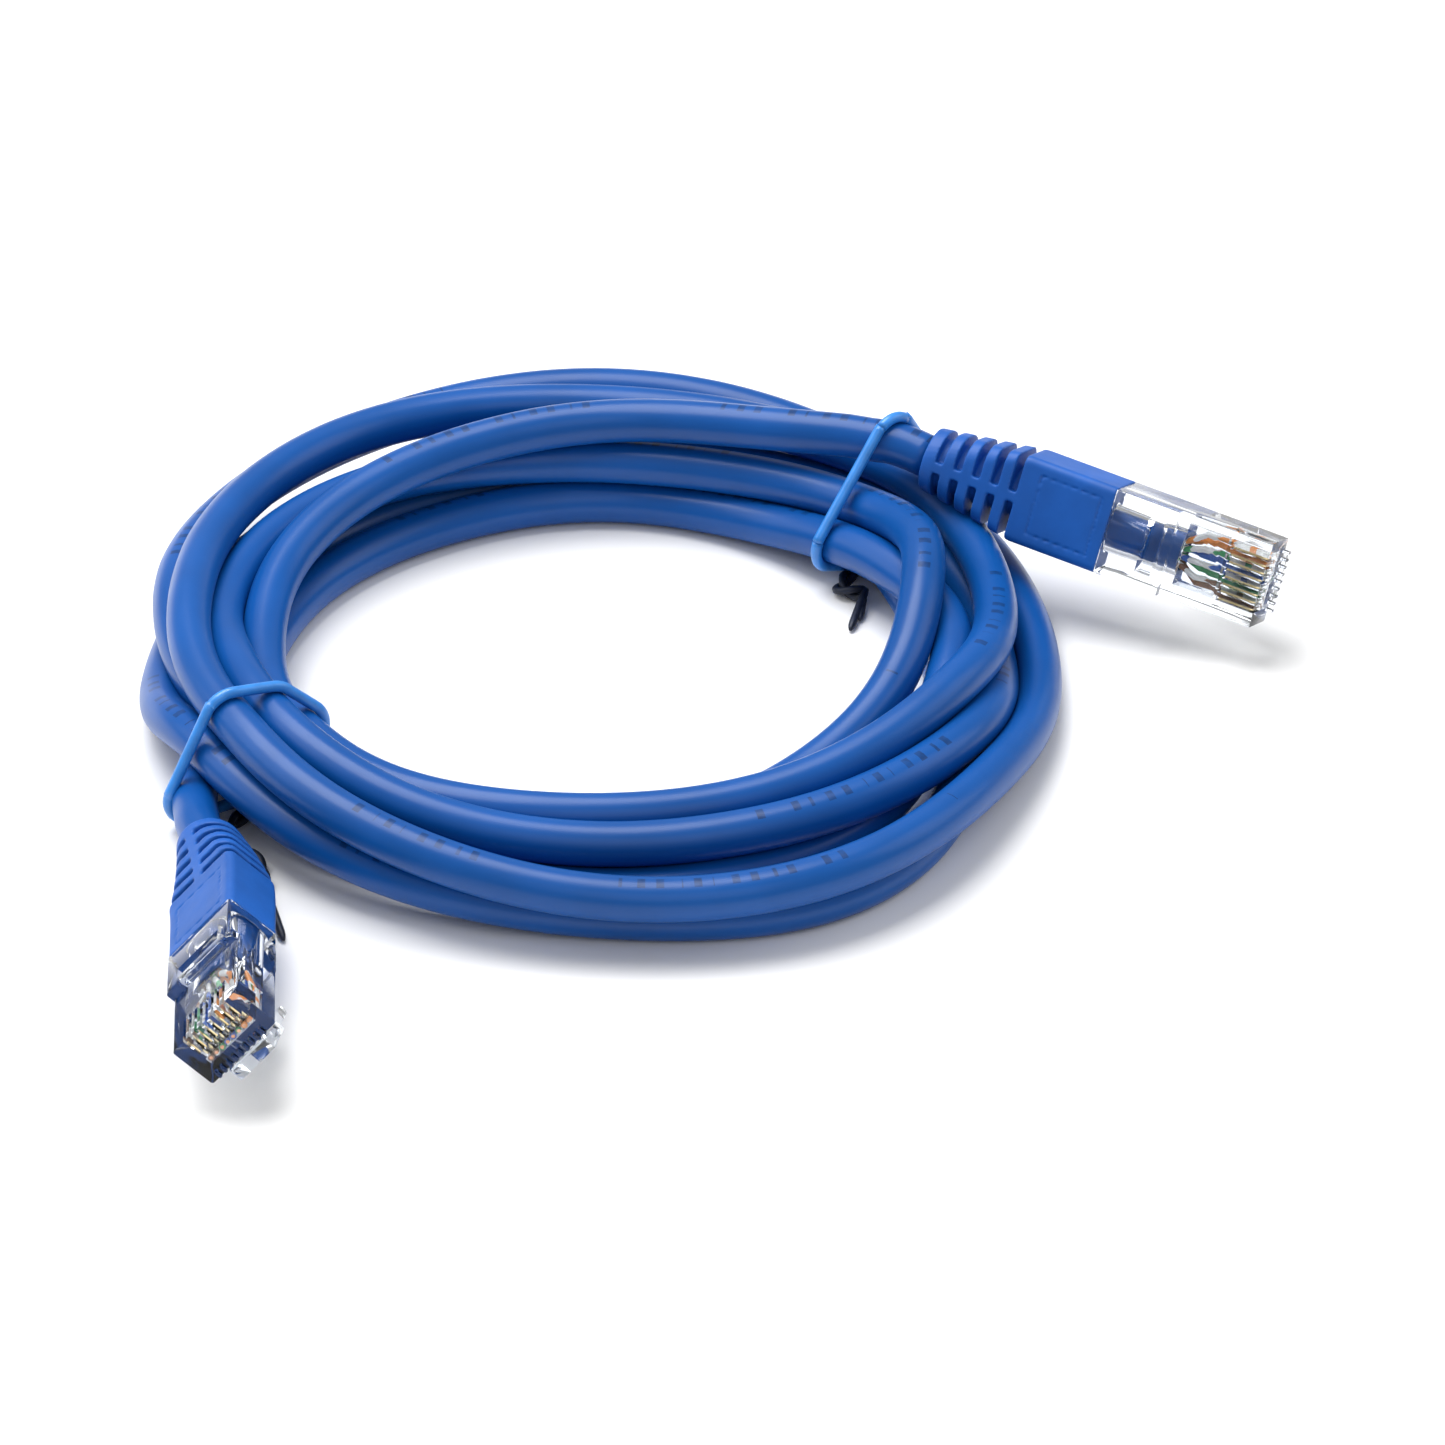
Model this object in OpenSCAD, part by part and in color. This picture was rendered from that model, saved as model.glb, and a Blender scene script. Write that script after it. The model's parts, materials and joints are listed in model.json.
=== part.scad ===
// Ethernet patch cable: a round jacketed cable wound into a loose coil, held by two
// twist ties, with a clear 8P8C plug in a moulded boot at each end.
// Millimetres, +Z up. The coil lies on z = 0 and the origin is under the middle of
// the whole object. End A is the end whose plug lies on the coil, end B lies beside it.

/* [Cable] */
// Outside diameter of the cable
cable_d = 5.8; // [5.6:0.1:5.9]
// Thickness of the cable's jacket
jacket_wall = 0.7; // [0.5:0.05:0.75]
// Height of the jacket where the plug presses it flat
jacket_flat_h = 5.2; // [5.0:0.1:5.3]
// Width of the jacket where the plug presses it flat
jacket_flat_w = 6.4; // [6.2:0.1:6.6]

/* [Wires] */
// Diameter of one wire over its insulation
wire_d = 0.86; // [0.8:0.01:0.9]
// Diameter of the copper in one wire
core_d = 0.5; // [0.4:0.02:0.56]
// Side-to-side spacing of the wires inside the jacket
wire_bundle_pitch = 1.05; // [1.03:0.01:1.07]
// Height between the two rows of wires inside the jacket
wire_row_gap = 1.1; // [1.0:0.05:1.2]

/* [Coil] */
// Middle of the coil along X
coil_x = -14.5; // [-20:0.5:-8]
// Middle of the coil along Y
coil_y = 18; // [12:0.5:22]
// Inside radius of the wound coil
coil_r_in = 40.5; // [40:0.5:41]
// Outside radius of the wound coil
coil_r_out = 62; // [61:0.5:62]
// Height of the wound coil
coil_h = 12; // [11:0.5:12]
// Rounding of the edges of the coil's upper turns
coil_edge_r = 5; // [4.8:0.1:5.4]
// Outside radius of the upper turns
coil_top_r = 56; // [55:0.5:57]
// Height of the lower turns
coil_low_h = 8; // [7.5:0.1:8]
// Rounding of the edges of the lower turns
coil_low_edge_r = 3.7; // [3.5:0.1:3.7]

/* [Plug] */
// Width of the plug
plug_w = 11.68; // [11.6:0.01:11.7]
// Length of the plug from its nose to the boot
plug_l = 22; // [21.4:0.1:22.5]
// Length of the thin front section
plug_front_l = 13; // [12:0.1:13.5]
// Thickness of the thin front section
plug_front_h = 6.6; // [6.5:0.05:6.7]
// How far the thick rear section rises above the middle, on the contact side
plug_rear_top = 4.6; // [4.2:0.1:4.8]
// How far the thick rear section drops below the middle, on the latch side
plug_rear_bottom = 3.4; // [3.35:0.05:3.5]
// Rounding of the plug's long edges
plug_edge_r = 0.4; // [0.2:0.05:0.6]
// How far the small teeth stand out of the nose
tooth_l = 0.9; // [0.4:0.1:1.2]

/* [Contacts] */
// Spacing of the contacts
contact_pitch = 1.016; // [1.01:0.002:1.02]
// Thickness of one contact blade
blade_t = 0.36; // [0.3:0.02:0.4]
// Width of the slot that a blade stands in
blade_slot_w = 0.5; // [0.46:0.02:0.56]

/* [Latch] */
// Width of the latch from its root to its shoulders
latch_root_w = 6.2; // [6.0:0.05:6.3]
// Width of the latch tab behind the shoulders
latch_tab_w = 3.25; // [3.1:0.05:3.4]
// Length of the latch from the nose to the tip of its tab
latch_l = 14.8; // [13.5:0.1:15]
// Distance of the shoulders behind the nose
latch_shoulder_x = 6.6; // [6:0.1:7.5]

/* [Boot] */
// Length of the boot
boot_l = 27; // [26.5:0.1:28]
// Length of the boot's solid block
boot_block_l = 12.5; // [12:0.1:13]
// Width of the boot's block
boot_w = 11.9; // [11.7:0.05:12]
// Diameter of the boot's rear collar
boot_collar_d = 8.6; // [8.4:0.1:8.8]
// Diameter of the core between the ribs
boot_core_d = 6.8; // [6.6:0.1:7.2]
// Width of the spine that joins the ribs on each wide face
boot_spine_w = 1.4; // [1:0.1:2]
// Number of slots along the ribbed part
slot_count = 5; // [3:1:5]
// Width of one slot
slot_w = 1.15; // [0.8:0.05:1.3]
// Spacing of the slots
slot_pitch = 2.7; // [2.4:0.05:2.75]

/* [Ties] */
// Outside diameter of a twist tie
tie_d = 1.5; // [1.3:0.1:1.5]
// Diameter of the wire inside a twist tie
tie_core_d = 0.6; // [0.4:0.05:0.8]
// Direction of tie A, seen from the coil's middle
tie_a_angle = 45; // [44:1:47]
// Direction of tie B, seen from the coil's middle
tie_b_angle = 209; // [207:1:210]

/* [Hidden] */
$fn = 48;

// Cutters reach this far past the face that they open
past = 0.1;
// Play around the parts that sit in the plug and the boot, at each side
seat_gap = 0.05;

// The eight wires in pin order: one [insulation colour] each, pin 1 on the +Y side
wire_colours = ["#f2c9a0", "#e8762c", "#bfe0c4", "#2f62b8",
                "#b9cdee", "#2f8a4c", "#d9bfa6", "#7a4a2c"];
wire_count = len(wire_colours);
jacket_blue = "#1f5fb0";
boot_blue = "#2a62b4";
tie_blue = "#4096e6";
clear_plastic = [0.86, 0.89, 0.92, 0.45];

// Each end is placed by its boot's rear: [point, turn about Z, nose-down tilt, roll].
// In its own frame an end points along +X, its nose is at x = 0 and its contacts face +Z.
end_a = [[29, 49, 16.6], -26, 7, 68];
end_b = [[-61.2, -27.75, 6], -88, -5.5, 47];
end_l = plug_l + boot_l;

// Stations along an end, from the nose back
jacket_front_x = -12;
pocket_back_x = -12.1;
pocket_front_x = -6.3;
wire_front_x = -1.1;
wire_back_x = -24;
spread_start_x = -12.2;
spread_end_x = -9.6;
flat_start_x = -6.4;
// Height of the flat row of wires under the contacts
wire_flat_z = -1.05;

// Contact blade: outline numbers
blade_back_x = -5.2;
blade_front_x = -0.4;
blade_top_z = 2.7;
blade_low_z = 0.6;
blade_nose_r = 0.9;
tine_xs = [-4.4, -2.1];
tine_half_w = 0.35;
tine_tip_z = -1.05;

// Strain-relief bar and its window in the contact side
bar_x = [-16.3, -14.9];
bar_z = [2.68, 3.15];
window_x = [-16.7, -14.5];
window_half_w = 3.7;

// Boot: first slot behind the block, and the panel on the contact side
slot_front_gap = 0.7;
boot_top = plug_rear_top + 0.05;
boot_bottom = -plug_rear_bottom - 0.1;
boot_edge_r = 1;
panel_x = [-32.5, -23.5];
panel_half_w = 4.2;
panel_line_w = 0.35;
panel_line_depth = 0.2;

// Latch: the root's gap to the plug, thicknesses and slope
latch_gap = 0.3;
latch_root_l = 1.3;
latch_root_bottom = -5.6;
latch_arm_top = -4.3;
latch_slope = 0.245;
latch_tab_t = 1.1;

// Free stretches of cable: round points, in order from the boot into the coil
lead_out = 7;
route_a = [[12, 53.5, 16.5], [0, 59.5, 15.5], [-13, 63.5, 13.5], [-26, 64, 10]];
route_b = [[-62, -11, 4]];
tube_sides = 10;
tube_ring_step = 13;
wire_sides = 8;
// Play between a wire or a tie and the metal inside it
core_gap = 0.01;

// Tie loops in a slice through the coil: [distance from the coil's middle, height].
// A starts and ends at the coil's inner side, B at its outer side.
tie_in_r = coil_r_in - 1.1;
tie_out_r = coil_r_out + 1.1;
tie_floor_z = tie_d / 2;
tie_end_z = 2.6;
tie_a_loop = [[tie_in_r, tie_end_z], [tie_in_r, tie_floor_z], [tie_out_r, tie_floor_z],
              [tie_out_r, 10], [52.5, 19.6], [50, 21.6], [45, 21.6], [42.2, 19],
              [tie_in_r, 8.5], [tie_in_r, tie_end_z]];
tie_b_loop = [[tie_out_r + 2 * tie_d, tie_floor_z], [tie_in_r, tie_floor_z], [tie_in_r, 8.5],
              [coil_r_in + 1.9, coil_h + 1.05], [coil_top_r, coil_h + 1.05],
              [tie_out_r, coil_low_h], [tie_out_r, tie_floor_z]];
// Where the two ends of each tie stop: A's in its slice, B's from the coil's middle
tie_a_tip = [31, 0, tie_end_z];
tie_b_tip = [-39, -59, tie_floor_z];
// Half the distance between the middles of a tie's two ends
tie_side = tie_d / 2 + 0.05;
tie_sides = 8;
notch_w = 2 * tie_side + tie_d + 0.3;
notch_h = 1.7;

// ---- placing ----

function turn_z(a, p) = [p.x * cos(a) - p.y * sin(a), p.x * sin(a) + p.y * cos(a), p.z];
function turn_y(a, p) = [p.x * cos(a) + p.z * sin(a), p.y, p.z * cos(a) - p.x * sin(a)];
// Direction in which an end's nose points
function end_direction(end) = turn_z(end[1], turn_y(end[2], [1, 0, 0]));

// Puts an end, modelled with its nose at the origin, where it lies
module place_end(end) {
    translate(end[0]) rotate([0, end[2], end[1]]) rotate([end[3], 0, 0])
        translate([end_l, 0, 0]) children();
}

// ---- shared shapes ----

module rounded_rect(w, h, r) {
    square([w - 2 * r, h], center = true);
    square([w, h - 2 * r], center = true);
    for (sx = [-1, 1], sy = [-1, 1]) translate([sx * (w / 2 - r), sy * (h / 2 - r)]) circle(r);
}

// Rounded bar along X from x0 to x1, w wide, from z0 up to z1
module bar_along_x(x0, x1, w, z0, z1, r) {
    translate([x0, 0, (z0 + z1) / 2]) rotate([90, 0, 90])
        linear_extrude(x1 - x0) rounded_rect(w, z1 - z0, r);
}

// Rod along X with flat sides and round edges
module oval_rod(x0, x1, w, h) bar_along_x(x0, x1, w, -h / 2, h / 2, h / 2 - 0.01);

module box(x, y, z) translate([x[0], y[0], z[0]]) cube([x[1] - x[0], y[1] - y[0], z[1] - z[0]]);

module rod(x0, x1, d) translate([x0, 0, 0]) rotate([0, 90, 0]) cylinder(d = d, h = x1 - x0);

// ---- swept tubes ----

function unit(v) = v / norm(v);
// Catmull-Rom point between b and c
function smooth(a, b, c, d, t) =
    0.5 * (2 * b + (c - a) * t + (2 * a - 5 * b + 4 * c - d) * t * t
           + (3 * b - a - 3 * c + d) * t * t * t);
// The route with points added between its corners, about one per ring step
function fine_route(p) = concat(
    [for (i = [0 : len(p) - 2])
        let (a = p[max(i - 1, 0)], b = p[i], c = p[i + 1], d = p[min(i + 2, len(p) - 1)],
             n = max(1, round(norm(c - b) / tube_ring_step)))
        for (k = [0 : n - 1]) smooth(a, b, c, d, k / n)],
    [p[len(p) - 1]]);

function step_dir(p, i) = unit(p[i + 1] - p[i]);
// Normal of the plane in which two steps of a path meet
function joint_normal(p, i) =
    i == len(p) - 1 ? step_dir(p, i - 1) : unit(step_dir(p, i - 1) + step_dir(p, i));
function first_ring(p, r, sides) =
    let (dir = step_dir(p, 0), side = unit(cross(dir, [0, 0, 1])), top = cross(side, dir))
    [for (k = [0 : sides - 1])
        p[0] + r * (cos(360 * k / sides) * side + sin(360 * k / sides) * top)];
// A ring pushed along a step until it lies in the plane of the next joint
function pushed(ring, dir, at, normal) =
    [for (q = ring) q + dir * (((at - q) * normal) / (dir * normal))];
function rings(p, i, ring) = i == len(p) - 1 ? [ring] : concat([ring],
    rings(p, i + 1, pushed(ring, step_dir(p, i), p[i + 1], joint_normal(p, i + 1))));
function skin(p, r, sides) = [for (ring = rings(p, 0, first_ring(p, r, sides))) each ring];
// The four-sided faces between ring a and ring b, numbered by their first points
function band(a, b, s) = [for (k = [0 : s - 1]) [a + k, a + (k + 1) % s, b + (k + 1) % s, b + k]];

// Solid tube of diameter d along a path
module tube(p, d, sides) {
    last = (len(p) - 1) * sides;
    polyhedron(skin(p, d / 2, sides), concat(
        [[for (k = [sides - 1 : -1 : 0]) k]],
        [for (i = [0 : len(p) - 2]) each band(i * sides, (i + 1) * sides, sides)],
        [[for (k = [0 : sides - 1]) last + k]]));
}

// Hollow tube along a path, open at both ends
module pipe(p, d, bore, sides) {
    n = len(p) * sides;
    last = n - sides;
    polyhedron(concat(skin(p, d / 2, sides), skin(p, bore / 2, sides)), concat(
        [for (i = [0 : len(p) - 2]) each band(i * sides, (i + 1) * sides, sides)],
        [for (i = [0 : len(p) - 2]) each band(n + (i + 1) * sides, n + i * sides, sides)],
        band(n, 0, sides), band(last, n + last, sides)));
}

// Free stretch from a boot into the coil
module cable_tail(end, route) {
    back = -end_direction(end);
    path = fine_route(concat([end[0], end[0] + lead_out * back], route));
    color(jacket_blue) tube(path, cable_d, tube_sides);
}

// ---- coil ----

// Everything in a slice through the coil at an angle: +X runs outwards
module coil_slice(angle) translate([coil_x, coil_y, 0]) rotate([0, 0, angle]) children();

// Rounded outline of the turns, from the coil's inside radius out to r
module turns_outline(r, h, edge_r)
    translate([(coil_r_in + r) / 2, h / 2]) rounded_rect(r - coil_r_in, h, edge_r);

module cable_coil() {
    color(jacket_blue) difference() {
        translate([coil_x, coil_y, 0]) rotate_extrude($fn = 180) {
            turns_outline(coil_r_out, coil_low_h, coil_low_edge_r);
            turns_outline(coil_top_r, coil_h, coil_edge_r);
        }
        for (angle = [tie_a_angle, tie_b_angle]) coil_slice(angle)
            box([coil_r_in - 1, coil_r_out + 1], [-notch_w / 2, notch_w / 2], [-past, notch_h]);
    }
}

// ---- cable end inside the boot and the plug ----

module cable_end() {
    color(jacket_blue) difference() {
        union() {
            rod(-end_l, -plug_l, cable_d);
            oval_rod(-plug_l, jacket_front_x, jacket_flat_w, jacket_flat_h);
        }
        rod(-end_l + 2, -plug_l + past, cable_d - 2 * jacket_wall);
        oval_rod(-plug_l, jacket_front_x + past,
                 jacket_flat_w - 2 * jacket_wall, jacket_flat_h - 2 * jacket_wall);
    }
}

// ---- wires ----

function pin_y(i) = ((wire_count - 1) / 2 - i) * contact_pitch;
// Inside the jacket the wires lie in two rows, one pair above the other
function bundle_y(i) = (1.5 - floor(i / 2)) * wire_bundle_pitch;
function bundle_z(i) = (i % 2 == 0 ? 1 : -1) * wire_row_gap / 2;
function wire_path(i) = [
    [wire_back_x, bundle_y(i), bundle_z(i)],
    [spread_start_x, bundle_y(i), bundle_z(i)],
    [spread_end_x, pin_y(i), bundle_z(i)],
    [flat_start_x, pin_y(i), wire_flat_z],
    [wire_front_x, pin_y(i), wire_flat_z]];

module wire(i) {
    color(wire_colours[i]) pipe(wire_path(i), wire_d, core_d + 2 * core_gap, wire_sides);
}

module wire_cores() {
    for (i = [0 : wire_count - 1])
        color("#c87a45") tube(wire_path(i), core_d, wire_sides);
}

// ---- contacts ----

module blade_outline() {
    difference() {
        union() {
            translate([blade_back_x, blade_low_z])
                square([blade_front_x - blade_back_x, blade_top_z - blade_low_z]);
            for (x = tine_xs) polygon([[x - tine_half_w, blade_low_z + past], [x - tine_half_w, -0.5],
                [x, tine_tip_z], [x + tine_half_w, -0.5], [x + tine_half_w, blade_low_z + past]]);
        }
        translate([blade_front_x - blade_nose_r, blade_top_z - blade_nose_r]) difference() {
            square(blade_nose_r + past);
            circle(blade_nose_r);
        }
    }
}

module contacts() {
    color("#d9a93c") for (i = [0 : wire_count - 1])
        translate([0, pin_y(i) + blade_t / 2, 0]) rotate([90, 0, 0])
            linear_extrude(blade_t) blade_outline();
}

// ---- plug housing ----

module plug_shell() {
    half_h = plug_front_h / 2;
    bar_along_x(-plug_front_l, 0, plug_w, -half_h, half_h, plug_edge_r);
    bar_along_x(-plug_l, -plug_front_l, plug_w, -plug_rear_bottom, plug_rear_top, plug_edge_r);
    for (i = [0 : wire_count]) translate([0, (i - wire_count / 2) * contact_pitch, 0])
        box([-past, tooth_l], [-0.18, 0.18], [-half_h + 0.15, -half_h + 1.15]);
}

module blade_slots() {
    w = blade_slot_w / 2;
    for (i = [0 : wire_count - 1]) translate([0, pin_y(i), 0]) {
        box([blade_back_x - 0.2, past], [-w, w], [blade_low_z - 0.1, plug_front_h]);
        box([blade_back_x, -1.3], [-w, w], [-0.7, blade_low_z]);
    }
}

module plug_housing() {
    slot_half_h = wire_d / 2 + seat_gap;
    row_half_w = pin_y(0) + wire_d / 2 + seat_gap;
    color(clear_plastic) {
        difference() {
            plug_shell();
            oval_rod(-plug_l - past, jacket_front_x, jacket_flat_w + 2 * seat_gap,
                     jacket_flat_h + 2 * seat_gap);
            box([pocket_back_x, pocket_front_x], [-row_half_w - 0.2, row_half_w + 0.2],
                [wire_flat_z - slot_half_h - 0.1, 1.3]);
            box([pocket_front_x - past, wire_front_x + past], [-row_half_w, row_half_w],
                [wire_flat_z - slot_half_h, wire_flat_z + slot_half_h]);
            blade_slots();
            box(window_x, [-window_half_w, window_half_w], [2, plug_front_h]);
        }
        box(bar_x, [-window_half_w - past, window_half_w + past], bar_z);
    }
}

// ---- latch ----

// Height of the latch's body-side face at a distance behind the nose
function latch_top(x) = latch_arm_top - latch_slope * (x - latch_root_l);

module latch_part(w, outline) translate([0, w / 2, 0]) rotate([90, 0, 0])
    linear_extrude(w) polygon(outline);

module latch() {
    root_top = -plug_front_h / 2 - latch_gap;
    shoulder = latch_top(latch_shoulder_x);
    shoulder_low = latch_root_bottom - latch_slope * latch_shoulder_x;
    tip = latch_top(latch_l);
    color(clear_plastic) {
        latch_part(latch_root_w, [[0, root_top], [0, latch_root_bottom],
            [-latch_shoulder_x, shoulder_low + 0.2], [-latch_shoulder_x, shoulder],
            [-latch_root_l, latch_arm_top], [-latch_root_l, root_top]]);
        latch_part(latch_tab_w, [[-latch_shoulder_x + past, shoulder],
            [-latch_shoulder_x + past, shoulder - 1.3], [-latch_l + 0.4, tip - latch_tab_t],
            [-latch_l, tip - latch_tab_t + 0.4], [-latch_l, tip]]);
    }
}

// ---- boot ----

// Cuts the slots between the ribs, and leaves the core and the two spines
module boot_slots() {
    first = -plug_l - boot_block_l - slot_front_gap;
    for (k = [0 : slot_count - 1]) difference() {
        x1 = first - k * slot_pitch;
        box([x1 - slot_w, x1], [-8, 8], [-8, 8]);
        rod(x1 - slot_w - past, x1 + past, boot_core_d);
        box([x1 - slot_w - past, x1 + past], [-boot_spine_w / 2, boot_spine_w / 2], [-9, 9]);
    }
}

module panel_line() {
    depth = [boot_top - panel_line_depth, boot_top + past];
    difference() {
        box(panel_x, [-panel_half_w, panel_half_w], depth);
        box([panel_x[0] + panel_line_w, panel_x[1] - panel_line_w],
            [-panel_half_w + panel_line_w, panel_half_w - panel_line_w],
            [depth[0] - past, depth[1] + past]);
    }
}

module boot() {
    block_back_x = -plug_l - boot_block_l;
    color(boot_blue) difference() {
        union() {
            bar_along_x(block_back_x, -plug_l, boot_w, boot_bottom, boot_top, boot_edge_r);
            hull() {
                bar_along_x(block_back_x - 0.1, block_back_x, boot_w, boot_bottom, boot_top,
                            boot_edge_r, $fn = 32);
                rod(-end_l, -end_l + 1.6, boot_collar_d, $fn = 32);
            }
        }
        rod(-end_l - past, -plug_l + past, cable_d + 2 * seat_gap);
        boot_slots();
        panel_line();
    }
}

// ---- twist ties ----

// The points of a loop, [outwards, height], as they drift sideways from one end to the other
function drifted(loop) = [for (k = [0 : len(loop) - 1])
    [loop[k][0], tie_side * (2 * k / (len(loop) - 1) - 1), loop[k][1]]];
// From a slice at an angle to the coil's own frame
function in_coil(angle, points) = [for (p = points) turn_z(angle, p) + [coil_x, coil_y, 0]];

function tie_a_path() = in_coil(tie_a_angle, concat(
    [tie_a_tip - [0, tie_side, 0]], drifted(tie_a_loop), [tie_a_tip + [0, tie_side, 0]]));

// Tie B's ends lie on the floor side by side, the outer one first
function tie_b_path() =
    let (loop = in_coil(tie_b_angle, drifted(tie_b_loop)), tip = tie_b_tip + [coil_x, coil_y, 0],
         v = unit(tip - loop[len(loop) - 1]))
    concat([tip + 2 * tie_side * [v.y, -v.x, 0]], loop, [tip]);

module tie_sleeve(path) color(tie_blue) pipe(path, tie_d, tie_core_d, tie_sides);
module tie_wire(path) color("#8a8f94") tube(path, tie_core_d - 2 * core_gap, tie_sides);

// ---- the nodes ----

cable_coil();
cable_tail(end_a, route_a);  // cable_tail_a
cable_tail(end_b, route_b);  // cable_tail_b
place_end(end_a) cable_end();  // cable_end_a
place_end(end_b) cable_end();  // cable_end_b
place_end(end_a) boot();  // boot_a
place_end(end_b) boot();  // boot_b
place_end(end_a) plug_housing();  // plug_a_housing
place_end(end_b) plug_housing();  // plug_b_housing
place_end(end_a) latch();  // plug_a_latch
place_end(end_b) latch();  // plug_b_latch
place_end(end_a) contacts();  // plug_a_contacts
place_end(end_b) contacts();  // plug_b_contacts
place_end(end_a) wire(0);  // wire_a_white_orange
place_end(end_a) wire(1);  // wire_a_orange
place_end(end_a) wire(2);  // wire_a_white_green
place_end(end_a) wire(3);  // wire_a_blue
place_end(end_a) wire(4);  // wire_a_white_blue
place_end(end_a) wire(5);  // wire_a_green
place_end(end_a) wire(6);  // wire_a_white_brown
place_end(end_a) wire(7);  // wire_a_brown
place_end(end_b) wire(0);  // wire_b_white_orange
place_end(end_b) wire(1);  // wire_b_orange
place_end(end_b) wire(2);  // wire_b_white_green
place_end(end_b) wire(3);  // wire_b_blue
place_end(end_b) wire(4);  // wire_b_white_blue
place_end(end_b) wire(5);  // wire_b_green
place_end(end_b) wire(6);  // wire_b_white_brown
place_end(end_b) wire(7);  // wire_b_brown
place_end(end_a) wire_cores();  // wire_cores_a
place_end(end_b) wire_cores();  // wire_cores_b
tie_sleeve(tie_a_path());  // tie_a_sleeve
tie_wire(tie_a_path());  // tie_a_wire
tie_sleeve(tie_b_path());  // tie_b_sleeve
tie_wire(tie_b_path());  // tie_b_wire
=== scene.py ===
"""Looks of the coiled ethernet patch cable: one continuous jacketed cable laid in its coil, the
twist ties wrapped round it, the moulded boots and the clear plugs with their wires and contacts."""

import json
import math

import bmesh
import bpy
import numpy as np
from mathutils import Matrix, Vector


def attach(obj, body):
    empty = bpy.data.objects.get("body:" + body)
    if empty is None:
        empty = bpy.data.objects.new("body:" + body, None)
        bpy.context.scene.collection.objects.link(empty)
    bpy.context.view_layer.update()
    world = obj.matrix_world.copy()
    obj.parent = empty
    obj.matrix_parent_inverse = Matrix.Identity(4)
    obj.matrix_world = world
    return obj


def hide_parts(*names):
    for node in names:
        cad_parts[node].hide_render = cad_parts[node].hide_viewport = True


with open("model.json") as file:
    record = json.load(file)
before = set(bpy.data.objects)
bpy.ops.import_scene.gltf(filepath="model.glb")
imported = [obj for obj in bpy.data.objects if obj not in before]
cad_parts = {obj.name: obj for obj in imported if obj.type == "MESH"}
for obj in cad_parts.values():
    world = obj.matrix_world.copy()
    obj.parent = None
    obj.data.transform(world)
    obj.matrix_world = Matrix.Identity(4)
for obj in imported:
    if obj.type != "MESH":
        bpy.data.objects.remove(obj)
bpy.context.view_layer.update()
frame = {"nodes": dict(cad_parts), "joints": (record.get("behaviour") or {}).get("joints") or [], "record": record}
MM = 0.001
NODES = frame["nodes"]

# ---- sizes, in metres ----

CABLE_D = 0.0058
CABLE_R = CABLE_D / 2
END_L = 0.049  # from a plug's nose to the rear of its boot
LEAD_OUT = 0.007
TIE_R = 0.00075
WIRE_R = 0.00055
TWIST_PITCH = 0.008
TIE_LIFT = 0.0015  # how far a tie under the coil lifts the lowest turns
TIE_LIFT_WIDTH = 0.008  # distance over which the lift fades, to each side of the tie
LAID_STEP = 0.003  # spacing of the points while the cable settles
PATH_STEP = 0.0015  # spacing of the points of the finished cable
TIE_STEP = 0.0006
WIRE_STEP = 0.0005

# Free stretches of cable, from the boot into the coil. They follow the CAD tubes only roughly:
# A's third point is 0.8 mm higher, its fourth is left out, and B's point is 4.6 mm away
ROUTE_A = [(0.012, 0.0535, 0.0165), (0, 0.0595, 0.0155), (-0.013, 0.0635, 0.0143)]
ROUTE_B = [(-0.0663, -0.0125, 0.0035)]

# The coil, one row per turn from plug A's end: distance from the coil's middle and height of the
# cable's centre, in millimetres, every 30 degrees, anticlockwise from straight behind the middle.
# These are not driving dimensions: a fitting program printed them, mostly rounded to half a
# millimetre, and 24 of the 77 pairs were then changed
COIL_MIDDLE = Vector((-0.0145, 0.018, 0))
LANE_START = 90
LANE_STEP = 30
LANES = [
    [(44.5, 14.5), (43.5, 13), (45, 10.5), (45.5, 8.5), (47, 8), (45, 8.5),
     (42, 8.5), (44, 9), (47.5, 11), (50.5, 9.5), (54, 8.5), (56, 9)],
    [(56, 9.5), (58, 10.5), (55.5, 11.5), (52.5, 13.5), (55, 13), (58, 12),
     (60, 8), (63, 8.5), (57.5, 6.5), (56, 3.5), (58, 3.5), (60.5, 6.5)],
    [(61.5, 9), (62.5, 7), (60, 6.5), (54.5, 8.5), (51.5, 7.5), (51, 4.5),
     (51, 2.9), (50.5, 2.9), (48.5, 5), (46, 6.5), (42, 8), (41.5, 3.5)],
    [(43, 2.9), (42.5, 2.9), (45, 2.9), (46.5, 2.9), (46.5, 2.9), (44.5, 2.9),
     (41, 2.9), (37, 3.5), (38.5, 6.5), (42.5, 9.5), (45, 9), (43.5, 9)],
    [(43, 8.5), (47, 8.5), (49.5, 8.5), (49.5, 8.5), (48.5, 12.5), (48.5, 10),
     (48, 8), (50.5, 8.5), (52.5, 8.5), (51.5, 2.9), (53, 2.9), (54.5, 2.9)],
    [(54.5, 2.9), (53.5, 2.9), (55, 2.9), (54.5, 3.5), (56.5, 8), (58, 6),
     (56, 2.9), (61, 2.9), (53.5, 2.9), (44.5, 2.9), (43.5, 2.9), (47.5, 2.9)],
    [(49, 2.9), (48, 2.9), (49, 2.9), (50.5, 2.9), (56.5, 2.9)],
]

# Each tie stands in an upright plane: a point on the surface inside the coil, and the way outwards
TIES = {"a": (Vector((0.0128, 0.0400, 0)), math.radians(47)),
        "b": (Vector((-0.0474, -0.0018, 0)), math.radians(212))}
TIE_REACH = 0.035
TIE_BACK = 0.005  # how far the plane goes on inwards of its point


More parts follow.
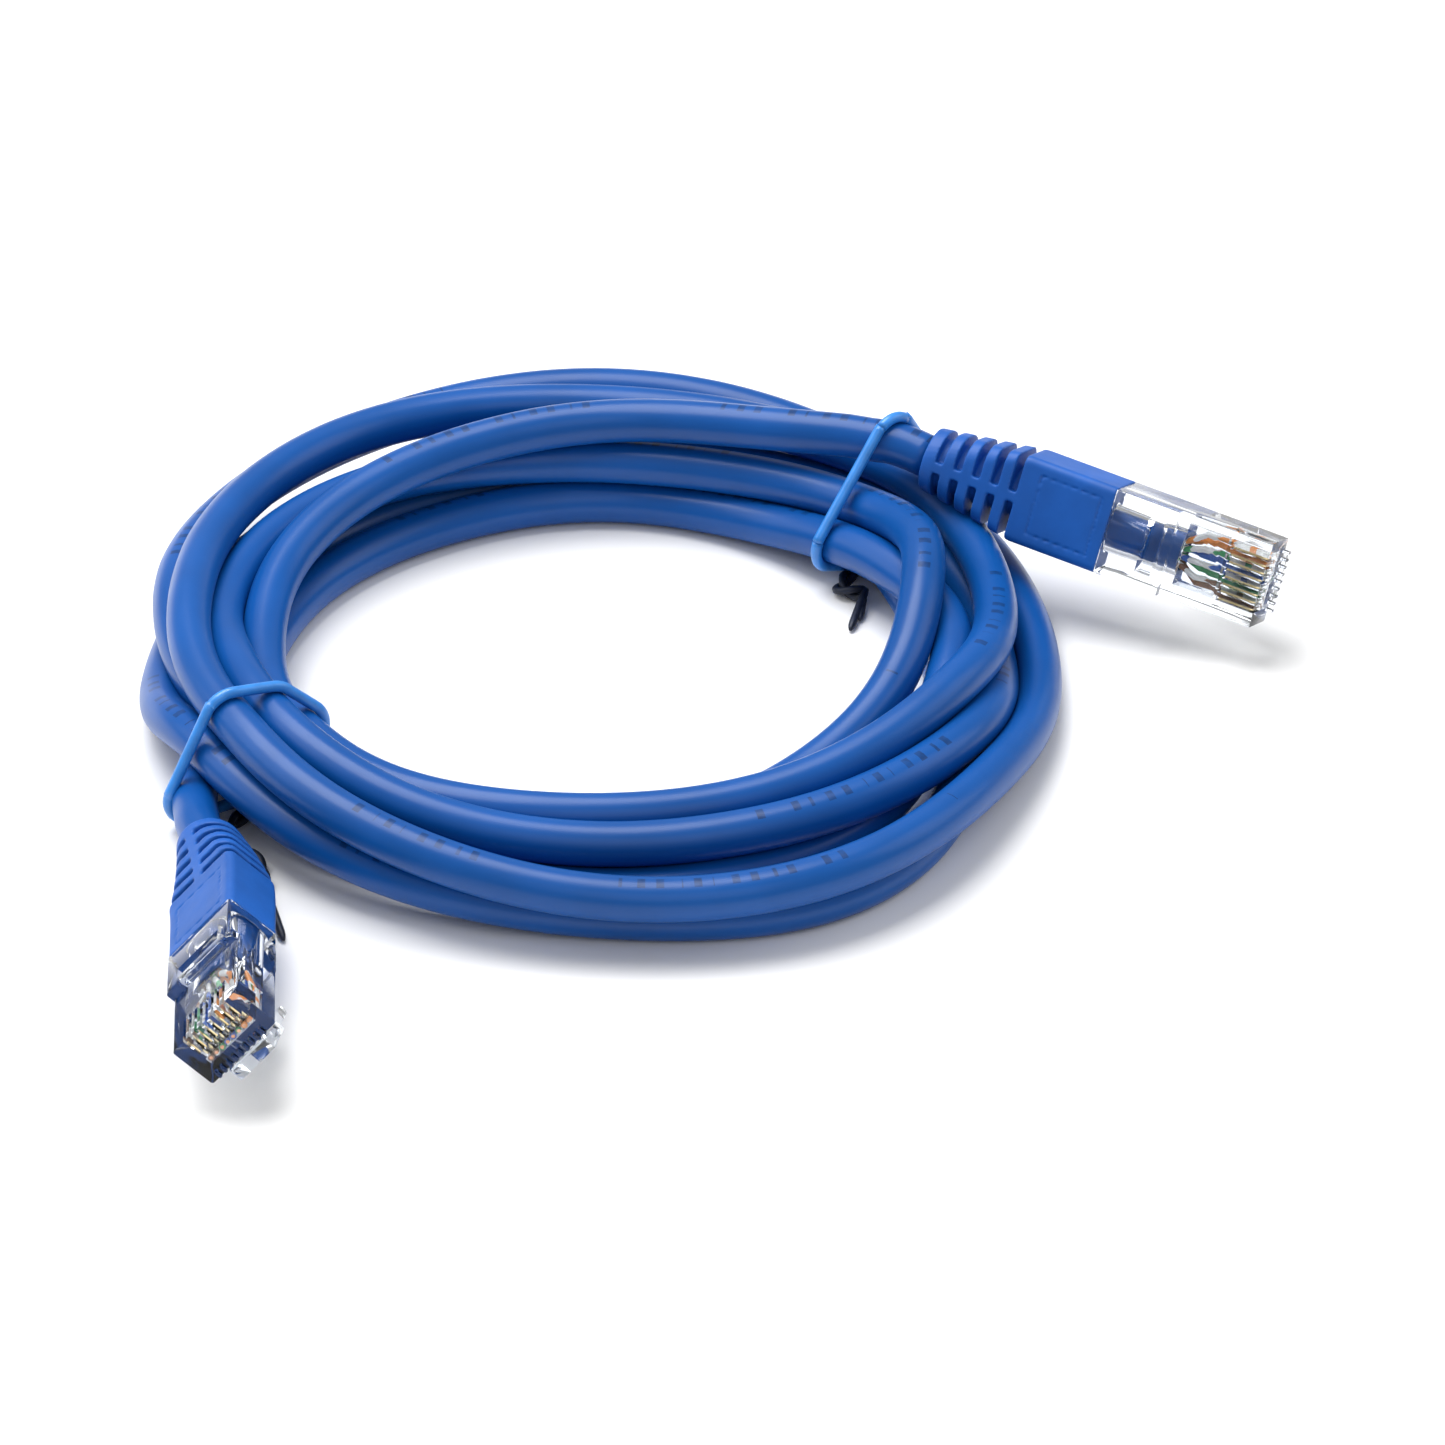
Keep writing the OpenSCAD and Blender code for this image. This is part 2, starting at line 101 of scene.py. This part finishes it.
def plug_frame(end):
    """Matrix from a plug's own frame to the object's: nose at the origin, +X forward, contacts up."""
    mount = next(m for m in frame["record"]["mounts"] if m["name"] == f"plug_{end}_nose")
    hinge = next(j for j in frame["joints"] if j["name"] == f"plug_{end}_latch_press")
    x = Vector(mount["axis"]).normalized()
    y = Vector(hinge["axis"]).normalized()
    z = x.cross(y)
    return Matrix.Translation(mount["pos_m"]) @ Matrix((x, y, z)).transposed().to_4x4()


PLUG = {end: plug_frame(end) for end in "ab"}

# The soft rear of boot B leans aside with its cable
FLEX = {"a": Vector((0, 0, 0)), "b": Vector((-0.0022, 0, 0))}
FLEX_L = 0.02


def flexed(end, point):
    """Where a point of a boot lies once its rear leans aside."""
    back = -(PLUG[end].inverted() @ Vector(point)).x
    share = max(0.0, (back - END_L + FLEX_L) / FLEX_L)
    return Vector(point) + FLEX[end] * share**2


# ---- the cable's path ----


def catmull_rom(points, pieces):
    """A smooth curve through the points, with so many pieces between each two."""
    p = [np.array(q, float) for q in points]
    out = []
    for i in range(len(p) - 1):
        a, b, c, d = p[max(i - 1, 0)], p[i], p[i + 1], p[min(i + 2, len(p) - 1)]
        for k in range(pieces):
            t = k / pieces
            out.append(0.5 * (2 * b + (c - a) * t + (2 * a - 5 * b + 4 * c - d) * t**2
                              + (3 * b - a - 3 * c + d) * t**3))
    return np.array(out + [p[-1]])


def evenly(points, step):
    """The same line with its points a step apart."""
    along = np.concatenate([[0], np.cumsum(np.linalg.norm(np.diff(points, axis=0), axis=1))])
    at = np.linspace(0, along[-1], int(round(along[-1] / step)) + 1)
    return np.stack([np.interp(at, along, points[:, k]) for k in range(3)], -1)


def laid_route():
    """The route before it settles: boot A, its free stretch, the turns, and the stretch into boot B."""
    rear_a, rear_b = (flexed(e, PLUG[e] @ Vector((-END_L, 0, 0))) for e in "ab")
    out_a, out_b = (flexed(e, PLUG[e] @ Vector((-END_L - LEAD_OUT, 0, 0))) for e in "ab")
    flat = [(LANE_START + LANE_STEP * k, r, z) for k, (r, z) in enumerate(sum(LANES, []))]
    lane = catmull_rom(flat[1:], 16)
    angle = np.radians(lane[:, 0])
    turns = np.stack([lane[:, 1] * np.cos(angle), lane[:, 1] * np.sin(angle), lane[:, 2]], -1)
    turns = turns * MM + np.array(COIL_MIDDLE)
    head = catmull_rom([rear_a, out_a, *ROUTE_A], 8)
    tail = catmull_rom([*ROUTE_B, out_b, rear_b], 8)
    return evenly(np.concatenate([head, turns, tail]), LAID_STEP)


def in_plane(end, p):
    """Distances of points outwards along a tie's plane and off it."""
    start, way = TIES[end]
    x, y = p[:, 0] - start.x, p[:, 1] - start.y
    return x * math.cos(way) + y * math.sin(way), y * math.cos(way) - x * math.sin(way)


def floor_height(p):
    """Lowest that the cable's centre can be: on the surface, or on a tie that passes under it."""
    height = np.full(len(p), CABLE_R)
    for end in TIES:
        out, off = in_plane(end, p)
        held = (out > -TIE_BACK) & (out < TIE_REACH)
        height += np.where(held, TIE_LIFT * np.exp(-((off / TIE_LIFT_WIDTH) ** 2)), 0)
    return height


def uneven(p, reach):
    """How unevenly a line bends at each point, seen over the points at a reach on both sides."""
    for _ in range(2):
        hollow = np.zeros_like(p)
        hollow[reach:-reach] = (p[2 * reach:] + p[:-2 * reach]) / 2 - p[reach:-reach]
        p = hollow
    return p


def settle(p, rounds=400, pull=0.012, bend=0.22):
    """Lets the cable lie as a springy cable does: stretches lie on each other and on the surface
    without passing through, bends even out, and the whole keeps near where it was laid."""
    laid = p.copy()
    n = len(p)
    held_ends = 3  # points at each end that stay in line with the boots
    neighbours = 8  # points nearer than this along the cable can't press on each other
    watch = 0.005  # gap below which a pair of points is watched
    even_out = 0.25  # share of an uneven spacing that one step takes away
    free = np.ones((n, 1))
    free[:held_ends] = free[-held_ends:] = 0
    first, second = np.triu_indices(n, neighbours)
    for step in range(rounds):
        p = p + (pull * (laid - p) - bend * (uneven(p, 1) + uneven(p, 2))) * free
        if step % 10 == 0:
            near = np.linalg.norm(p[first] - p[second], axis=1) < CABLE_D + watch
            pairs = ((first[near], second[near]), (second[near], first[near]))
        move = np.zeros_like(p)
        share = np.zeros(n)
        for one, other in pairs:
            for back in (0, 1):
                j = np.clip(other - back, 0, n - 2)
                run = p[j + 1] - p[j]
                t = np.clip(((p[one] - p[j]) * run).sum(1) / (run * run).sum(1), 0, 1)
                gap = p[one] - p[j] - t[:, None] * run
                far = np.linalg.norm(gap, axis=1)
                hit = (far < CABLE_D) & (far > 1e-9)
                i, j, t = one[hit], j[hit], t[hit]
                push = gap[hit] / far[hit][:, None] * ((CABLE_D - far[hit]) / 2)[:, None]
                for index, part in ((i, np.ones(len(i))), (j, t - 1), (j + 1, -t)):
                    np.add.at(move, index, push * part[:, None])
                    np.add.at(share, index, np.abs(part))
        p = p + move / np.maximum(share, 1)[:, None] * free
        p[:, 2] = np.maximum(p[:, 2], floor_height(p))
        for _ in range(2):
            run = p[1:] - p[:-1]
            size = np.linalg.norm(run, axis=1)[:, None]
            slip = even_out * (size - size.mean()) * run / size
            p[:-1] += slip * free[:-1]
            p[1:] -= slip * free[1:]
    return p


# ---- mesh helpers ----


def new_object(name, verts, faces, smooth=True):
    mesh = bpy.data.meshes.new(name)
    mesh.from_pydata([tuple(v) for v in verts], [], faces)
    mesh.validate()
    obj = bpy.data.objects.new(name, mesh)
    bpy.context.scene.collection.objects.link(obj)
    if smooth:
        mesh.shade_smooth()
    return obj


def turned_frames(path):
    """A pair of cross directions at each point, carried along the path without twist."""
    run = np.gradient(path, axis=0)
    run /= np.linalg.norm(run, axis=1)[:, None]
    side = np.cross(run[0], (0, 0, 1))
    if np.linalg.norm(side) < 1e-6:
        side = np.array((1.0, 0, 0))
    sides = []
    for t in run:
        side = side - t * side.dot(t)
        side = side / np.linalg.norm(side)
        sides.append(side)
    sides = np.array(sides)
    return run, sides, np.cross(sides, run)


def tube(name, path, radius, sides=20, end_round=False):
    """Closed tube along a path, with a UV map: U round it, V along it in metres."""
    path = np.array(path, float)
    radii = np.full(len(path), radius)
    if end_round:
        lead = np.array([math.sin(a) for a in (0.35, 0.75, 1.15)])  # a rounded tip in three rings
        radii[:3] *= lead
        radii[-3:] *= lead[::-1]
    _, u, v = turned_frames(path)
    verts, faces = [], []
    for i, p in enumerate(path):
        for k in range(sides):
            a = 2 * math.pi * k / sides
            verts.append(p + radii[i] * (math.cos(a) * u[i] + math.sin(a) * v[i]))
    for i in range(len(path) - 1):
        for k in range(sides):
            a, b = i * sides, i * sides + (k + 1) % sides
            faces.append((a + k, b, b + sides, a + sides + k))
    last = (len(path) - 1) * sides
    faces.append(tuple(range(sides - 1, -1, -1)))
    faces.append(tuple(last + k for k in range(sides)))
    obj = new_object(name, verts, faces)
    along = np.concatenate([[0], np.cumsum(np.linalg.norm(np.diff(path, axis=0), axis=1))])
    uv = obj.data.uv_layers.new(name="UVMap").data
    for face in obj.data.polygons[: (len(path) - 1) * sides]:
        i, k = divmod(face.index, sides)
        for loop, (du, dv) in zip(face.loop_indices, ((0, 0), (1, 0), (1, 1), (0, 1))):
            uv[loop].uv = ((k + du) / sides, along[i + dv])
    return obj


def copied(node, name):
    """A new object with the shape of a CAD node."""
    obj = bpy.data.objects.new(name, NODES[node].data.copy())
    obj.data.materials.clear()
    bpy.context.scene.collection.objects.link(obj)
    return obj


def baked(obj):
    """Applies the modifiers."""
    graph = bpy.context.evaluated_depsgraph_get()
    mesh = bpy.data.meshes.new_from_object(obj.evaluated_get(graph))
    obj.modifiers.clear()
    obj.data = mesh
    return obj


def cleaned(obj):
    """Joins the frame's split corners and turns its flat triangles into whole faces."""
    bm = bmesh.new()
    bm.from_mesh(obj.data)
    bmesh.ops.remove_doubles(bm, verts=bm.verts, dist=1e-6)
    bmesh.ops.dissolve_limit(bm, angle_limit=math.radians(1), verts=bm.verts, edges=bm.edges)
    bm.normal_update()
    bm.to_mesh(obj.data)
    bm.free()
    return obj


def bevelled(node, name, width):
    """The CAD shape with its sharp edges rounded, as a mould leaves them."""
    obj = cleaned(copied(node, name))
    bevel = obj.modifiers.new("bevel", "BEVEL")
    bevel.width = width
    bevel.segments = 2
    bevel.limit_method = "ANGLE"
    bevel.angle_limit = math.radians(35)
    baked(obj)
    obj.data.shade_smooth()
    obj.data.set_sharp_from_angle(angle=math.radians(32))
    return obj


def moulded(node, name, voxel, rounds):
    """The CAD shape as a soft moulding: all its edges flow into each other."""
    obj = cleaned(copied(node, name))
    remesh = obj.modifiers.new("remesh", "REMESH")
    remesh.mode = "VOXEL"
    remesh.voxel_size = voxel
    smooth = obj.modifiers.new("smooth", "SMOOTH")
    smooth.factor = 0.5
    smooth.iterations = rounds
    baked(obj)
    obj.data.shade_smooth()
    return obj


def piece(obj, body, slot, material, *nodes):
    """Gives an object its material and body, and hides the CAD nodes that it stands for. The slot is not used."""
    obj.data.materials.clear()
    obj.data.materials.append(material)
    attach(obj, body)
    if nodes:
        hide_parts(*nodes)
    return obj


def repaint(node, material):
    """A better material for a CAD node whose shape is right."""
    obj = NODES[node]
    obj.data.materials.clear()
    obj.data.materials.append(material)


# ---- materials ----


class Shader:
    """A Principled shader with a few short ways to add procedural detail."""

    def __init__(self, name, **sockets):
        self.material = bpy.data.materials.new(name)
        self.material.use_nodes = True
        self.tree = self.material.node_tree
        self.bsdf = self.tree.nodes["Principled BSDF"]
        for key, value in sockets.items():
            self.bsdf.inputs[key.replace("_", " ")].default_value = value
        self.place = self.tree.nodes.new("ShaderNodeTexCoord").outputs["Object"]

    def node(self, kind, **values):
        made = self.tree.nodes.new(kind)
        for key, value in values.items():
            setattr(made, key, value)
        return made

    def link(self, a, b):
        self.tree.links.new(a, b)

    def noise(self, scale, detail):
        made = self.node("ShaderNodeTexNoise")
        made.inputs["Scale"].default_value = scale
        made.inputs["Detail"].default_value = detail
        self.link(self.place, made.inputs["Vector"])
        return made.outputs["Fac"]

    def ramp(self, value, *stops):
        made = self.node("ShaderNodeValToRGB")
        ramp = made.color_ramp
        while len(ramp.elements) < len(stops):
            ramp.elements.new(0.5)
        for element, (at, colour) in zip(ramp.elements, stops):
            element.position = at
            element.color = (*colour, 1)
        self.link(value, made.inputs["Fac"])
        return made.outputs["Color"]

    def span(self, value, low, high):
        made = self.node("ShaderNodeMapRange")
        made.inputs["To Min"].default_value = low
        made.inputs["To Max"].default_value = high
        self.link(value, made.inputs["Value"])
        return made.outputs["Result"]

    def maths(self, operation, a, b=None):
        made = self.node("ShaderNodeMath", operation=operation)
        for socket, value in zip(made.inputs, (a, b)):
            if value is None:
                continue
            if isinstance(value, (int, float)):
                socket.default_value = value
            else:
                self.link(value, socket)
        return made.outputs[0]

    def mix(self, factor, a, b):
        made = self.node("ShaderNodeMix", data_type="RGBA")
        self.link(factor, made.inputs["Factor"])
        for socket, value in ((made.inputs["A"], a), (made.inputs["B"], b)):
            if isinstance(value, tuple):
                socket.default_value = (*value, 1)
            else:
                self.link(value, socket)
        return made.outputs["Result"]

    def bump(self, height, strength, distance):
        made = self.node("ShaderNodeBump")
        made.inputs["Strength"].default_value = strength
        made.inputs["Distance"].default_value = distance
        self.link(height, made.inputs["Height"])
        self.link(made.outputs["Normal"], self.bsdf.inputs["Normal"])

    def colour(self, value):
        self.link(value, self.bsdf.inputs["Base Color"])

    def roughness(self, value):
        self.link(value, self.bsdf.inputs["Roughness"])


def shade(colour, factor):
    """A darker or lighter colour."""
    return tuple(min(1.0, c * factor) for c in colour)


JACKET_BLUE = (0.002, 0.072, 0.300)
BOOT_BLUE = (0.006, 0.090, 0.390)
TIE_BLUE = (0.028, 0.225, 0.660)


def jacket_material():
    """Satin PVC jacket: faint lay of the pairs under it, fine grain and a line of printed ticks."""
    s = Shader("cable_jacket", Specular_IOR_Level=0.28, Coat_Weight=0.04, Coat_Roughness=0.2)
    base = s.ramp(s.noise(55, 4), (0.3, shade(JACKET_BLUE, 0.88)), (0.7, shade(JACKET_BLUE, 1.12)))
    uv = s.node("ShaderNodeUVMap", uv_map="UVMap").outputs["UV"]
    split = s.node("ShaderNodeSeparateXYZ")
    s.link(uv, split.inputs[0])
    around, along = split.outputs[0], split.outputs[1]

    def dashes(per_metre, share):
        return s.maths("LESS_THAN", s.maths("FRACT", s.maths("MULTIPLY", along, per_metre)), share)

    # Printed ticks: short bars in groups on one line along the jacket
    line = s.maths("LESS_THAN", s.maths("ABSOLUTE", s.maths("SUBTRACT", around, 0.25)), 0.045)
    marks = s.maths("MULTIPLY", s.maths("MULTIPLY", line, dashes(420, 0.42)), dashes(173, 0.7))
    ink = s.maths("MULTIPLY", marks, s.maths("MULTIPLY", dashes(21, 0.62), dashes(4.1, 0.35)))
    worn = s.maths("MULTIPLY", ink, s.span(s.noise(900, 2), 0.2, 1.0))
    s.colour(s.mix(worn, base, shade(JACKET_BLUE, 0.3)))
    s.roughness(s.span(s.noise(160, 5), 0.27, 0.40))
    lay_length = 0.045
    lay = s.maths("SINE", s.maths("ADD", s.maths("MULTIPLY", around, 4 * math.pi),
                                  s.maths("MULTIPLY", along, 2 * math.pi / lay_length)))
    grain = s.noise(2600, 2)
    s.bump(s.maths("ADD", s.maths("MULTIPLY", lay, 0.6), s.maths("MULTIPLY", grain, 0.12)), 0.5, 0.00006)
    return s.material


def pvc_material(name, colour, low, high):
    """Moulded soft PVC: fine mould grain with duller and shinier patches."""
    s = Shader(name, Specular_IOR_Level=0.35)
    s.colour(s.ramp(s.noise(140, 4), (0.3, shade(colour, 0.86)), (0.72, shade(colour, 1.14))))
    s.roughness(s.span(s.noise(320, 4), low, high))
    s.bump(s.noise(1800, 3), 0.22, 0.00004)
    return s.material


def tie_material():
    s = Shader("tie_plastic", Specular_IOR_Level=0.5, Coat_Weight=0.2, Coat_Roughness=0.2)
    s.colour(s.ramp(s.noise(300, 3), (0.3, shade(TIE_BLUE, 0.82)), (0.7, shade(TIE_BLUE, 1.12))))
    s.roughness(s.span(s.noise(500, 3), 0.26, 0.42))
    s.bump(s.noise(900, 2), 0.25, 0.00005)
    return s.material


def wire_in_painted_shade_material():
    s = Shader("tie_steel", Metallic=0.35)
    # Near-black colour: painted shade on the twisted ends, not the steel's own colour
    s.colour(s.ramp(s.noise(700, 4), (0.3, (0.006, 0.008, 0.016)), (0.7, (0.022, 0.030, 0.055))))
    s.roughness(s.span(s.noise(900, 3), 0.35, 0.6))
    s.bump(s.noise(2400, 2), 0.3, 0.00003)
    return s.material


def clear_material():
    """Clear plastic: faint flow marks and a polish that varies a little. It refracts less than real
    polycarbonate (1.58), which keeps the view through the plugs calmer."""
    s = Shader("clear_plastic", Base_Color=(0.93, 0.96, 1.0, 1), Transmission_Weight=1.0, IOR=1.36)
    s.roughness(s.span(s.noise(260, 4), 0.02, 0.09))
    s.bump(s.noise(300, 2), 0.06, 0.00003)
    return s.material


def gold_material():
    s = Shader("gold_contact", Metallic=1.0)
    s.colour(s.ramp(s.noise(900, 4), (0.3, (0.80, 0.62, 0.30)), (0.7, (0.95, 0.82, 0.52))))
    s.roughness(s.span(s.noise(1600, 4), 0.16, 0.34))
    s.bump(s.noise(5000, 2), 0.2, 0.00001)
    return s.material


def copper_material():
    s = Shader("copper", Metallic=1.0)
    s.colour(s.ramp(s.noise(1200, 4), (0.3, (0.62, 0.27, 0.13)), (0.7, (0.86, 0.46, 0.28))))
    s.roughness(s.span(s.noise(1800, 3), 0.22, 0.42))
    return s.material


def insulation_material(name, colour, stripe, end):
    """Glossy polyethylene insulation; a striped wire has coloured bands a few millimetres apart."""
    s = Shader(name, Specular_IOR_Level=0.5)
    base = s.ramp(s.noise(700, 3), (0.3, shade(colour, 0.9)), (0.7, shade(colour, 1.06)))
    if stripe:
        split = s.node("ShaderNodeSeparateXYZ")
        turn = s.node("ShaderNodeVectorRotate", rotation_type="EULER_XYZ", invert=True)
        turn.inputs["Rotation"].default_value = PLUG[end].to_euler()
        s.link(s.place, turn.inputs["Vector"])
        s.link(turn.outputs[0], split.inputs[0])
        bands_per_metre, slant = 330, 420
        along = s.maths("ADD", s.maths("MULTIPLY", split.outputs[0], bands_per_metre),
                        s.maths("MULTIPLY", split.outputs[2], slant))
        s.colour(s.mix(s.maths("LESS_THAN", s.maths("FRACT", along), 0.3), base, stripe))
    else:
        s.colour(base)
    s.roughness(s.span(s.noise(900, 3), 0.28, 0.42))
    s.bump(s.noise(2500, 2), 0.15, 0.00002)
    return s.material


# ---- cable ----

path = evenly(catmull_rom(settle(laid_route()), 3), PATH_STEP)
jacket = jacket_material()
cable = tube("cable", path, CABLE_R, sides=24)
piece(cable, "root", "cable_jacket", jacket, "cable_coil", "cable_tail_a", "cable_tail_b")
jacket_ends = pvc_material("jacket_ends", JACKET_BLUE, 0.3, 0.44)

# ---- twist ties ----


def crossings(end):
    """Where the cable crosses a tie's plane: (distance outwards, height)."""
    out, off = in_plane(end, path)
    found = []
    for i in np.nonzero((off[:-1] < 0) & (off[1:] >= 0))[0]:
        t = off[i] / (off[i] - off[i + 1])
        if -TIE_BACK < out[i] < TIE_REACH:
            found.append((out[i] + t * (out[i + 1] - out[i]),
                          path[i, 2] + t * (path[i + 1, 2] - path[i, 2])))
    return found


def wrapped(points, reach):
    """Convex outline at a distance round points, anticlockwise from its lowest outer corner."""
    cloud = sorted((x + reach * math.cos(a), max(y + reach * math.sin(a), TIE_R))
                   for x, y in points for a in np.radians(np.arange(0, 360, 10)))
    hull = []
    for run in (cloud, cloud[::-1]):
        part = []
        for q in run:
            while len(part) > 1 and ((part[-1][0] - part[-2][0]) * (q[1] - part[-2][1])
                                     <= (part[-1][1] - part[-2][1]) * (q[0] - part[-2][0])):
                part.pop()
            part.append(q)
        hull += part[:-1]
    return hull


def from_plane(end, out, z, side=0.0):
    """The point that lies so far outwards, up and to the side of a tie's plane."""
    start, way = TIES[end]
    return start + Vector((out * math.cos(way) - side * math.sin(way),
                           out * math.sin(way) + side * math.cos(way), z))


def tie(end, start_low, twist, tips):
    """A sleeve wrapped round what the tie holds, and its two ends twisted together, dark with painted shade."""
    hull = wrapped(crossings(end), CABLE_R + TIE_R)
    low = [q for q in hull if q[1] < TIE_R * 1.01]
    corner = (min if start_low == "inner" else max)(low)
    at = hull.index(corner)
    loop = hull[at:] + hull[:at] + [corner]
    count = len(loop) - 1
    drift = TIE_R * 1.15
    points = [from_plane(end, out, z, drift * (2 * i / count - 1)) for i, (out, z) in enumerate(loop)]
    sleeve = tube(f"tie_{end}_loop", evenly(catmull_rom(points, 3), TIE_STEP), TIE_R, 12, True)
    piece(sleeve, "root", "tie_plastic", tie_blue, f"tie_{end}_sleeve")
    # The twist: two wires round each other along a line on the surface, then apart
    start = from_plane(end, *corner)
    start.z = 2 * WIRE_R
    line = evenly(catmull_rom([start, *twist], 12), TIE_STEP)
    _, side, up = turned_frames(line)
    ends = []
    for k, tip in enumerate(tips):
        turn = math.pi * k + np.arange(len(line)) * TIE_STEP * 2 * math.pi / TWIST_PITCH
        wire = line + WIRE_R * (np.cos(turn)[:, None] * side + np.sin(turn)[:, None] * up)
        tip = np.array(tip)
        apart = [wire[-1] + (tip - wire[-1]) * t for t in (0.35, 0.7, 1)]
        for q in apart:
            q[2] = max(WIRE_R, q[2])
        wire = np.concatenate([wire, apart])
        wire[:, 2] = np.maximum(wire[:, 2], WIRE_R)
        wire = evenly(catmull_rom(wire, 3), WIRE_STEP)
        ends.append(tube(f"tie_{end}_tail_{k}", wire, WIRE_R, 10, True))
    bpy.context.view_layer.objects.active = ends[0]
    with bpy.context.temp_override(active_object=ends[0], selected_editable_objects=ends):
        bpy.ops.object.join()
    ends[0].name = f"tie_{end}_twist"
    piece(ends[0], "root", "tie_steel", tie_wire_painted_shade, f"tie_{end}_wire")


tie_blue = tie_material()
tie_wire_painted_shade = wire_in_painted_shade_material()
tie("a", "inner", [(0.0168, 0.0415, 0.0012), (0.0200, 0.0398, 0.0012)],
    [(0.0181, 0.0320, WIRE_R), (0.0194, 0.0345, WIRE_R)])
tie("b", "outer", [(-0.0638, -0.0192, 0.0011), (-0.0583, -0.0228, 0.0012), (-0.0566, -0.0300, 0.0012)],
    [(-0.0562, -0.0335, WIRE_R), (-0.0538, -0.0405, WIRE_R)])

# ---- boots and plugs ----

clear = clear_material()
gold = gold_material()
copper = copper_material()
boot_pvc = pvc_material("boot_pvc", BOOT_BLUE, 0.42, 0.58)
for end in "ab":
    boot = moulded(f"boot_{end}", f"boot_{end}_moulding", voxel=0.00018, rounds=3)
    piece(boot, "root", "boot_pvc", boot_pvc, f"boot_{end}")
    if FLEX[end].length:
        jacket_end = cleaned(copied(f"cable_end_{end}", f"jacket_end_{end}"))
        jacket_end.data.shade_smooth()
        piece(jacket_end, "root", "cable_jacket", jacket_ends, f"cable_end_{end}")
        for soft in (boot, jacket_end):
            for vertex in soft.data.vertices:
                vertex.co = flexed(end, vertex.co)
    else:
        repaint(f"cable_end_{end}", jacket_ends)
    housing = bevelled(f"plug_{end}_housing", f"plug_{end}_shell", width=0.00012)
    piece(housing, "root", "clear_plastic", clear, f"plug_{end}_housing")
    latch = bevelled(f"plug_{end}_latch", f"plug_{end}_clip", width=0.00015)
    piece(latch, f"plug_{end}_latch", "clear_plastic", clear, f"plug_{end}_latch")
    repaint(f"plug_{end}_contacts", gold)
    repaint(f"wire_cores_{end}", copper)

WHITE = (0.86, 0.85, 0.82)
PAIRS = {"orange": (0.83, 0.28, 0.05), "green": (0.05, 0.36, 0.13),
         "blue": (0.03, 0.14, 0.55), "brown": (0.24, 0.11, 0.05)}
for end in "ab":
    for name, colour in PAIRS.items():
        repaint(f"wire_{end}_{name}", insulation_material(f"wire_{end}_{name}", colour, None, end))
        repaint(f"wire_{end}_white_{name}",
                insulation_material(f"wire_{end}_white_{name}", WHITE, colour, end))

# ---- camera, floor and light ----

VIEW_ELEVATION = 33
VIEW_DISTANCE = 1.3
VIEW_TARGET = Vector((0.0013, 0.0105, 0))
VIEW_LENS = 249.4
SENSOR = 36
FLOOR = 3.0
LIGHT_SIZE = 0.8
LIGHT_AIM = (0, 0.01, 0)
LIGHTS = [("light_top", (-0.25, 0.30, 0.95), 14),
          ("light_front", (0.15, -0.9, 0.9), 2),
          ("light_left", (-1.0, 0.2, 0.7), 3.5),
          ("light_right", (1.0, 0.2, 0.7), 3)]
WORLD_LIGHT = 0.4


def aimed(obj, target):
    """Turns a camera or light towards a point and puts it in the scene."""
    obj.rotation_euler = (Vector(target) - obj.location).to_track_quat("-Z", "Y").to_euler()
    bpy.context.scene.collection.objects.link(obj)


def soft_light(name, place, watts):
    data = bpy.data.lights.new(name, "AREA")
    data.size = LIGHT_SIZE
    data.energy = watts
    obj = bpy.data.objects.new(name, data)
    obj.location = place
    aimed(obj, LIGHT_AIM)


camera_data = bpy.data.cameras.new("camera")
camera_data.lens = VIEW_LENS
camera_data.sensor_width = SENSOR
camera_data.clip_end = 20
camera = bpy.data.objects.new("camera", camera_data)
tilt = math.radians(VIEW_ELEVATION)
camera.location = VIEW_TARGET + VIEW_DISTANCE * Vector((0, -math.cos(tilt), math.sin(tilt)))
aimed(camera, VIEW_TARGET)
bpy.context.scene.camera = camera

corners = [(x * FLOOR, y * FLOOR, 0) for x, y in ((-1, -1), (1, -1), (1, 1), (-1, 1))]
floor = new_object("floor", corners, [(0, 1, 2, 3)], smooth=False)
paper = Shader("floor_paper", Specular_IOR_Level=0.1)
paper.colour(paper.ramp(paper.noise(3, 2), (0.3, (0.90, 0.90, 0.90)), (0.7, (0.93, 0.93, 0.93))))
paper.roughness(paper.span(paper.noise(40, 2), 0.85, 0.95))
floor.data.materials.append(paper.material)

for light_name, light_place, light_watts in LIGHTS:
    soft_light(light_name, light_place, light_watts)
bpy.context.scene.view_settings.view_transform = "Standard"
world = bpy.data.worlds.new("world")
bpy.context.scene.world = world
world.use_nodes = True
world.node_tree.nodes["Background"].inputs["Color"].default_value = (1, 1, 1, 1)
world.node_tree.nodes["Background"].inputs["Strength"].default_value = WORLD_LIGHT
